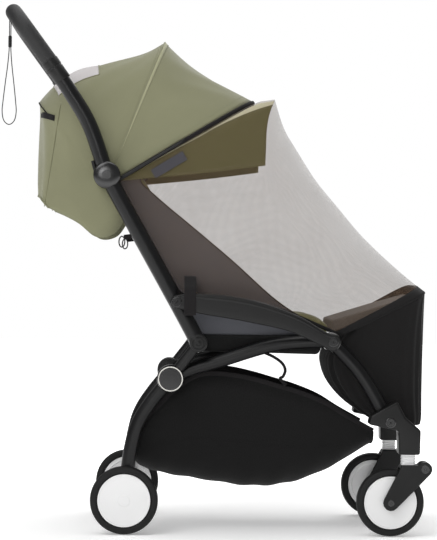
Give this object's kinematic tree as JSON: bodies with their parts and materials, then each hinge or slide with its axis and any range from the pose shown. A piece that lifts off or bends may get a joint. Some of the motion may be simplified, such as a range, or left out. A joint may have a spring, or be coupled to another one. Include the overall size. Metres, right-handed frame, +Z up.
{
  "type": "stroller mosquito net on a stroller",
  "caption": "Sheer taupe mosquito net with a black foot cover, fastened to the hood hoop and armrests of a plain black compact stroller with an olive hood.",
  "frame": {"origin": "on the floor, under the middle of the bounding box of all but the wrist cord", "axes": "+X is the way the stroller faces, +Z is up, and +Y is the stroller's left"},
  "size_m": [0.876, 0.4416, 1.0618],
  "materials": {
    "net_mesh": "sheer fine knitted mesh",
    "foot_cloth": "black plain weave",
    "webbing": "black webbing and cord",
    "label_weave": "dark grey woven label, bare",
    "hood_cloth": "olive plain weave",
    "seat_cloth": "dark grey seat cloth",
    "pad_cloth": "olive padded cloth",
    "sling_cloth": "black basket cloth",
    "frame_coat": "satin black powder coat",
    "grip_skin": "black leatherette grip",
    "black_plastic": "black moulded plastic",
    "tyre_foam": "black foam tyre",
    "wheel_disc": "white moulded plastic"
  },
  "bodies": {
    "root": {"net_panel": "net_mesh", "foot_cover": "foot_cloth", "label": "label_weave", "wrist_cord": "webbing", "hood": "hood_cloth", "visor": "hood_cloth", "hood_hoop": "black_plastic", "push_grip": "grip_skin", "bar_hub": "frame_coat", "bar_seat": "frame_coat", "bar_rear": "frame_coat", "basket": "sling_cloth", "seat_base": "sling_cloth", "seat_pad": "pad_cloth", "back_pad": "pad_cloth", "leg_rest": "sling_cloth", "strap_right": "webbing", "push_arm_right": "frame_coat", "hood_hinge_right": "black_plastic", "hub_right": "black_plastic", "seat_hinge_right": "black_plastic", "recline_joint_right": "black_plastic", "arm_pivot_right": "black_plastic", "back_tube_right": "frame_coat", "link_right": "frame_coat", "seat_rail_right": "frame_coat", "rear_leg_right": "frame_coat", "armrest_right": "black_plastic", "front_leg_right": "frame_coat", "caster_housing_right": "black_plastic", "fork_right": "black_plastic", "caster_buffer_right": "wheel_disc", "tyre_rear_right": "tyre_foam", "tyre_front_right": "tyre_foam", "disc_rear_right": "wheel_disc", "disc_front_right": "wheel_disc", "side_panel_right": "seat_cloth", "strap_left": "webbing", "push_arm_left": "frame_coat", "hood_hinge_left": "black_plastic", "hub_left": "black_plastic", "seat_hinge_left": "black_plastic", "recline_joint_left": "black_plastic", "arm_pivot_left": "black_plastic", "back_tube_left": "frame_coat", "link_left": "frame_coat", "seat_rail_left": "frame_coat", "rear_leg_left": "frame_coat", "armrest_left": "black_plastic", "front_leg_left": "frame_coat", "caster_housing_left": "black_plastic", "fork_left": "black_plastic", "caster_buffer_left": "wheel_disc", "tyre_rear_left": "tyre_foam", "tyre_front_left": "tyre_foam", "disc_rear_left": "wheel_disc", "disc_front_left": "wheel_disc", "side_panel_left": "seat_cloth"}
  },
  "joints": []
}
